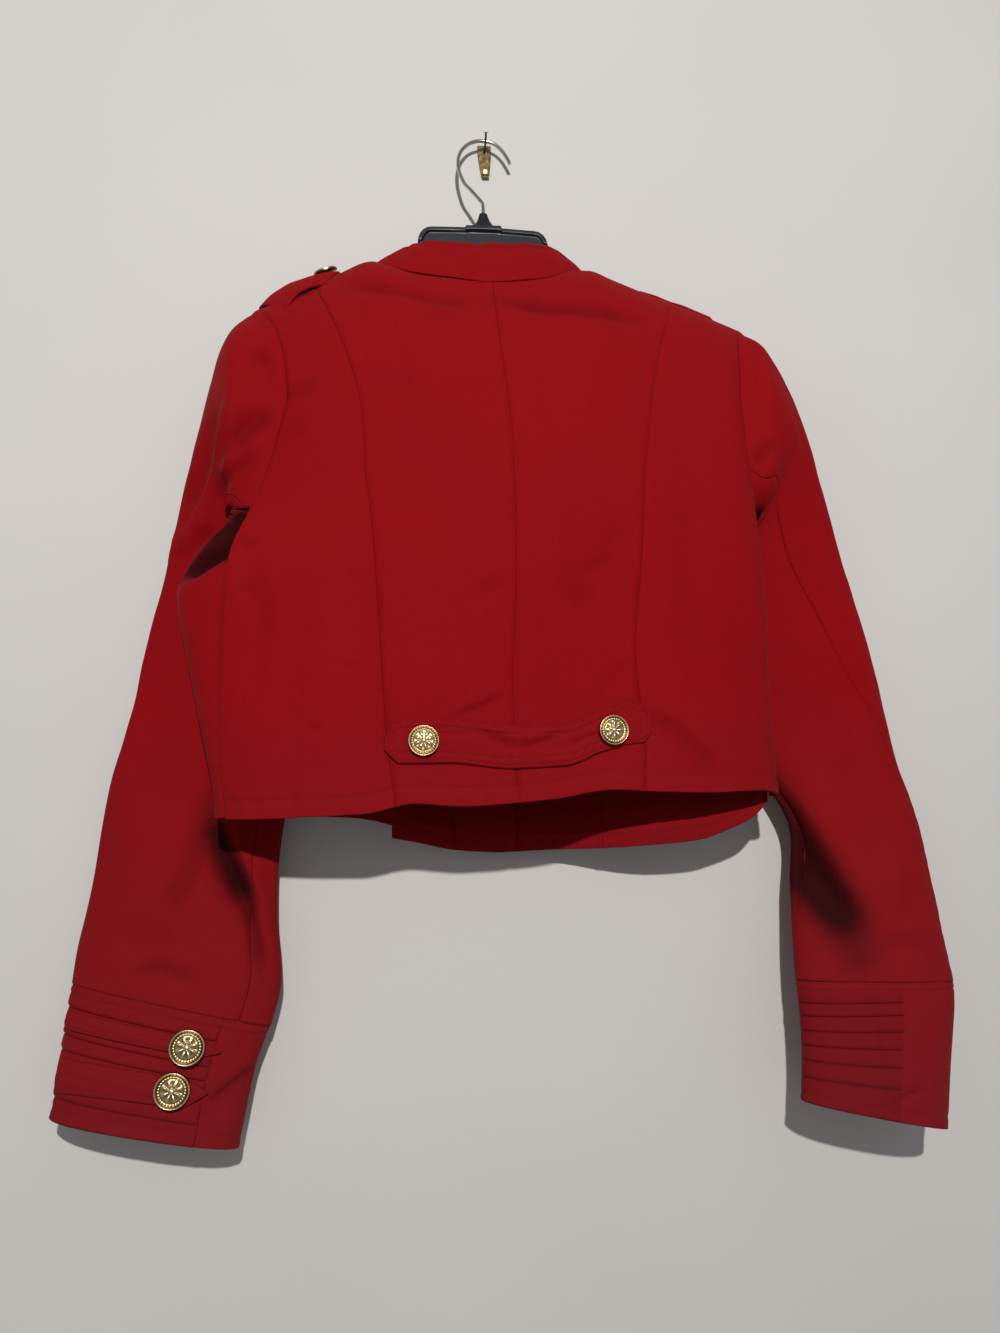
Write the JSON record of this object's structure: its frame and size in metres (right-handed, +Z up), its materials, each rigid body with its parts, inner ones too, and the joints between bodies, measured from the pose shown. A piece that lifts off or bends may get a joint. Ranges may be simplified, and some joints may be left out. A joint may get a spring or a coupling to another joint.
{
  "type": "cropped jacket on a clothes hanger and wall hook",
  "caption": "Long-sleeved cropped jacket in red twill with a stand collar, shoulder straps, tucked cuffs and a back half belt, hung on a plastic hanger from a small wall hook.",
  "frame": {"origin": "middle of the wall plate's flat back face, on the wall", "axes": "+Z up, +Y into the wall; the jacket's back faces -Y and its left side is at -X"},
  "size_m": [0.6465, 0.1106, 0.8441],
  "materials": {
    "red_twill": "fine cotton twill with a soft sheen",
    "gold_button": "pale gilt, satin with polished rim",
    "hanger_plastic": "black, satin gloss",
    "hook_wire": "bright wire",
    "nail_steel": "darkened",
    "plate_brass": "worn brass"
  },
  "bodies": {
    "root": {"back_side_left": "red_twill", "back_centre_left": "red_twill", "back_centre_right": "red_twill", "back_side_right": "red_twill", "front_side_left": "red_twill", "front_side_right": "red_twill", "front_left": "red_twill", "front_right": "red_twill", "front_facing_left": "red_twill", "collar_stand": "red_twill", "sleeve_left_upper": "red_twill", "sleeve_left_under": "red_twill", "sleeve_right_upper": "red_twill", "sleeve_right_under": "red_twill", "cuff_left": "red_twill", "cuff_right": "red_twill", "cuff_tab_left_upper": "red_twill", "cuff_tab_left_lower": "red_twill", "cuff_tab_right_upper": "red_twill", "cuff_tab_right_lower": "red_twill", "back_belt": "red_twill", "epaulette_left": "red_twill", "epaulette_right": "red_twill", "belt_button_left": "gold_button", "belt_button_right": "gold_button", "cuff_button_left_upper": "gold_button", "cuff_button_left_lower": "gold_button", "cuff_button_right_upper": "gold_button", "cuff_button_right_lower": "gold_button", "epaulette_button_left": "gold_button", "epaulette_button_right": "gold_button", "front_button_upper": "gold_button", "front_button_middle": "gold_button", "front_button_lower": "gold_button", "hanger_body": "hanger_plastic", "hanger_hook": "hook_wire", "wall_nail": "nail_steel", "wall_plate": "plate_brass"}
  },
  "joints": []
}
